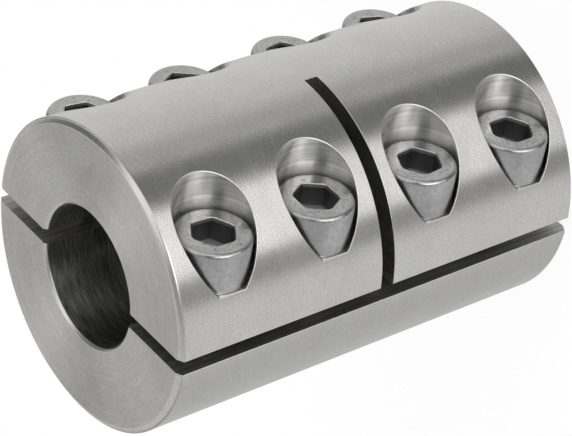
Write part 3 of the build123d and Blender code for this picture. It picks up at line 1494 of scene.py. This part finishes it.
# Light and dark colour, roughness and its spread, then pitch, depth, wander, lines and bands
FINISHES = {
    Skin.OUTSIDE: Finish(STEEL, DULL, 0.20, 0.04, 0.24, 0.0004, 0.60, 0.20, 0.04,
                         grain=0.50, mottle=0.10, grain_size=0.15, grain_stretch=1.6),
    Skin.END: Finish(STEEL, DULL, 0.36, 0.05, 0.35, 0.0006, 0.04, 0.20, 0.20,
                     grain=0.4, mottle=0.25, stretch=0.9),
    Skin.BORE: Finish(DIMMER_BORE_STEEL, DARK_MARKS_AND_GAP_SHADE, 0.36, 0.06, 0.16, 0.0012, 0.35, 0.90, 0.40, stretch=0.8),
    # Pocket walls take a whiter steel than the outside: painted extra light on them
    Skin.POCKET: Finish(WALL_PAINTED_LIGHT, DULL, 0.29, 0.04, 0.22, 0.0006, 0.03, 0.42, 0.36,
                        grain=0.0, mottle=0.0, stretch=1.0),
    Skin.SEAT: Finish(STEEL, DULL, 0.26, 0.04, 0.30, 0.0010, 0.04, 0.15, 0.10),
    Skin.SAWN: Finish(STEEL, DULL, 0.26, 0.06, 0.40, 0.0008, 0.04, 0.20, 0.15),
    # Parting faces darkened towards the darkest tone: painted shade in the narrow gap between the halves
    Skin.PARTED: Finish(STEEL, DARK_MARKS_AND_GAP_SHADE, 0.42, 0.06, 0.40, 0.0008, 0.04, 0.50, 0.30),
    Skin.EDGE: Finish(STEEL, DULL, 0.30, 0.05, 0.30, 0.0003, 0.10, 0.10, 0.05),
    Skin.HEAD_SIDE: Finish(SCREW, SCREW_DULL, 0.30, 0.06, 0.30, 0.0002, 0.06, 0.10, 0.12,
                           grain=0.3, mottle=0.3, smudge=0.3, specks=0.3),
    # Head top takes the halves' lighter steel, not the screw's own: painted light on the top
    Skin.HEAD_TOP: Finish(STEEL, SCREW_DULL, 0.22, 0.08, 0.22, 0.0005, 0.08, 0.15, 0.20,
                          grain=0.4, mottle=0.45, specks=0.7),
    Skin.HEAD_ROUND: Finish(SCREW, SCREW_DULL, 0.28, 0.05, 0.30, 0.0003, 0.06, 0.10, 0.12,
                            grain=0.4, mottle=0.3, specks=0.5),
    Skin.SOCKET_EDGE: Finish(SCREW, SCREW_DULL, 0.28, 0.05, 0.30, 0.0003, 0.06, 0.10, 0.12,
                             grain=0.5, mottle=0.4),
    # Socket walls darkened: partly their dark forged surface, partly painted shade in the recess
    Skin.SOCKET: Finish(SOCKET_DARK_AND_SHADE, SOCKET_BLACK_AND_SHADE, 0.42, 0.06, 0.40, 0.0010, 0.10, 0.20, 0.20),
    Skin.SOCKET_FLOOR: Finish(SCREW, SCREW_DULL, 0.70, 0.06, 0.30, 0.0003, 0.10, 0.20, 0.20),
    Skin.THREAD: Finish(STEEL, DULL, 0.30, 0.05, 0.20, 0.0006, 0.06, 0.10, 0.12),
}


def paint(skin: Skin) -> bpy.types.Material:
    """Return the material of a kind of surface, made on first use."""
    return bpy.data.materials.get(skin.value) or FINISHES[skin].material(skin.value)


# Elevation straight above the object, in degrees
OVERHEAD = 90.0


@dataclass(frozen=True)
class Card:
    """A card or lamp of the studio: where it stands round the object, in degrees, and its brightness."""

    azimuth: float
    half_width: float
    softness: float
    level: float
    low: float = -OVERHEAD
    high: float = OVERHEAD
    fade: float = 16.0

    def mask(self, wiring: Wiring, azimuth: Number, elevation: Number) -> bpy.types.NodeSocket:
        """Return how far the card fills a direction.

        Args:
            wiring: The world's wiring.
            azimuth: The direction's angle round the object, in radians.
            elevation: Its angle above the floor, in radians.

        Returns:
            A value between 0 and 1.
        """
        off = wiring.maths("SUBTRACT", azimuth, math.radians(self.azimuth))
        off = wiring.maths("ABSOLUTE", wiring.maths("WRAP", off, math.pi, -math.pi))
        inside = wiring.spread(off, math.radians(self.half_width + self.softness / 2),
                               math.radians(self.half_width - self.softness / 2), True)
        for bound, half in ((self.low, self.fade / 2), (self.high, -self.fade / 2)):
            if abs(bound) < OVERHEAD:
                ramp = wiring.spread(elevation, math.radians(bound) - math.radians(half),
                                     math.radians(bound) + math.radians(half), True)
                inside = wiring.maths("MULTIPLY", inside, ramp)
        return inside


@dataclass
class Studio:
    """The pale surroundings, the floor and the lamps."""

    backdrop: float = 0.70
    floor_half: float = 0.6
    floor_tone: float = 0.8
    floor_roughness: float = 0.9
    floor_glow: float = 1.12
    floor_glow_share: float = 0.8
    # Azimuth, half width, softness and level; each card lies over those before it
    cards: tuple[Card, ...] = (
        Card(75.0, 60.0, 60.0, 0.60),
        Card(-10.0, 30.0, 40.0, 0.81),
        Card(152.0, 22.0, 12.0, 0.80),
        Card(-168.0, 12.0, 8.0, 0.36),
        Card(-135.5, 24.5, 6.0, 1.26),
        Card(-92.0, 14.5, 10.0, 0.22),
        Card(-66.0, 9.0, 14.0, 0.50),
        Card(-125.0, 45.0, 12.0, 0.15, high=-42.0, fade=10.0),
        Card(0.0, 360.0, 10.0, 0.66, low=-8.0),
        Card(-22.0, 36.0, 30.0, 0.15, low=2.0, high=52.0),
        Card(-172.0, 28.0, 24.0, 0.30, low=0.0),
        Card(-112.0, 27.0, 14.0, 1.14, low=-4.0),
        Card(-99.5, 38.5, 10.0, 1.14, low=26.0),
        Card(-147.0, 12.0, 6.0, 3.00, low=-20.0, high=19.0, fade=8.0),
        Card(-132.0, 16.0, 8.0, 0.0, low=20.0, high=45.0, fade=6.0),
        Card(-112.0, 40.0, 12.0, 0.25, low=68.0, fade=8.0),
        Card(-15.0, 60.0, 20.0, 1.40, low=64.0, fade=10.0),
    )

    def surroundings(self) -> None:
        """Set the world: white to the camera, pale cards and lamps to everything else."""
        world = bpy.data.worlds.new("studio")
        bpy.context.scene.world = world
        world.use_nodes = True
        wiring = Wiring(world.node_tree)
        place = wiring.node("ShaderNodeTexCoord")
        parts = wiring.node("ShaderNodeSeparateXYZ")
        wiring.feed(parts.inputs[0], place.outputs["Generated"])
        azimuth = wiring.maths("ARCTAN2", parts.outputs["Y"], parts.outputs["X"])
        elevation = wiring.maths("ARCSINE", parts.outputs["Z"])
        level: Number = self.backdrop
        for card in self.cards:
            change = wiring.maths("SUBTRACT", card.level, level)
            level = wiring.maths("MULTIPLY_ADD", card.mask(wiring, azimuth, elevation), change, level)
        light = wiring.node("ShaderNodeLightPath")
        level = wiring.blend(light.outputs["Is Camera Ray"], level, (1.0, 1.0, 1.0, 1.0))
        background = world.node_tree.nodes["Background"]
        wiring.supply(background, Color=level, Strength=1.0)

    def floor(self) -> None:
        """Add the pale floor, which shows white to the camera but keeps a soft shadow."""
        half = self.floor_half
        mesh = bpy.data.meshes.new("floor")
        mesh.from_pydata([(-half, -half, 0), (half, -half, 0), (half, half, 0), (-half, half, 0)],
                         [], [(0, 1, 2, 3)])
        material = bpy.data.materials.new("pale_floor")
        material.use_nodes = True
        wiring = Wiring(material.node_tree)
        shader = material.node_tree.nodes["Principled BSDF"]
        wiring.supply(shader, Base_Color=(*[self.floor_tone] * 3, 1.0), Roughness=self.floor_roughness)
        white = wiring.node("ShaderNodeEmission")
        wiring.supply(white, Strength=self.floor_glow)
        light = wiring.node("ShaderNodeLightPath")
        mix = wiring.node("ShaderNodeMixShader")
        share = wiring.maths("MULTIPLY", light.outputs["Is Camera Ray"], self.floor_glow_share)
        for socket, value in zip(mix.inputs, (share, shader.outputs[0], white.outputs[0])):
            wiring.feed(socket, value)
        wiring.supply(material.node_tree.nodes["Material Output"], Surface=mix.outputs[0])
        mesh.materials.append(material)
        floor = linked("floor", mesh)
        floor.visible_glossy = False
        floor.visible_shadow = False

    def build(self) -> None:
        """Set up the whole studio."""
        self.surroundings()
        self.floor()
        bpy.context.scene.view_settings.view_transform = "Standard"


@dataclass
class Viewpoint:
    """The camera, in millimetres and degrees, and the nearest distance that it sees."""

    place: Point = (-195.46, -187.14, 210.39)
    aim: Point = (-0.55, 1.16, 33.12)
    roll: float = 109.134
    lens: float = 152.0
    sensor: float = 36.0
    nearest: float = 10.0

    def build(self) -> None:
        """Add the camera, level along its line of sight and then rolled."""
        data = bpy.data.cameras.new("camera")
        data.lens = self.lens
        data.sensor_width = self.sensor
        data.clip_start = self.nearest * MM
        camera = linked("camera", data)
        ahead = (Vector(self.aim) - Vector(self.place)).normalized()
        level = ahead.cross(Vector(UP)).normalized()
        upright = level.cross(ahead)
        roll = math.radians(self.roll)
        up = upright * math.cos(roll) + level * math.sin(roll)
        right = ahead.cross(up)
        camera.matrix_world = Matrix.Translation(Vector(self.place) * MM) @ Matrix(
            (right, up, -ahead)).transposed().to_4x4()
        bpy.context.scene.camera = camera


def seated(screw: CapScrew, place: ScrewPlace, pattern: bpy.types.Mesh) -> bpy.types.Object:
    """Put one screw in its seat with its head towards -Y.

    Args:
        screw: The screw's sizes.
        place: Where it sits.
        pattern: The mesh that each screw is a copy of.

    Returns:
        The screw's object.
    """
    mesh = pattern.copy()
    mesh.name = place.node
    seat = place.top - screw.sizes.head_height
    axes = Matrix((UP, (-1.0, 0.0, 0.0), (0.0, -1.0, 0.0))).transposed()
    turn = Matrix.Rotation(math.radians(place.turn), 3, "Z")
    origin = Vector((place.x, -seat, place.height)) * MM
    mesh.transform(Matrix.Translation(origin) @ (axes @ turn).to_4x4())
    return linked(place.node + "_dressed", mesh)


def attach(piece: bpy.types.Object, node: str) -> None:
    """Let a piece ride on the coupling and stand for its node, which is hidden.

    Args:
        piece: The piece.
        node: Name of the node that it replaces.
    """
    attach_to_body(piece, "root")
    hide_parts(node)
    triangles = sum(len(face.vertices) - 2 for face in piece.data.polygons)
    log.info("%s replaces %s with %d triangles", piece.name, node, triangles)


def main() -> None:
    """Build the pieces, the studio and the camera."""
    logging.basicConfig(level=logging.INFO, format="%(name)s: %(message)s")
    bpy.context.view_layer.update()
    sizes = CouplingSizes.from_frame()
    places = [
        ScrewPlace.from_frame(f"screw_{row}_{number}", turn)
        for row, turns in SOCKET_TURNS.items()
        for number, turn in enumerate(turns, start=1)
    ]
    for kind, node, side in ((ClampHalf, "clamp_half", -1), (HalfShell, "base_half", 1)):
        half = kind(sizes, places, node + "_dressed", side)
        attach(half.build(paint), node)
    screw = CapScrew(sizes)
    pattern = screw.build("cap_screw_pattern", paint)
    for place in places:
        attach(seated(screw, place, pattern.data), place.node)
    bpy.data.objects.remove(pattern)
    Studio().build()
    Viewpoint().build()
    bpy.context.view_layer.update()


if __name__ == "__main__":
    main()
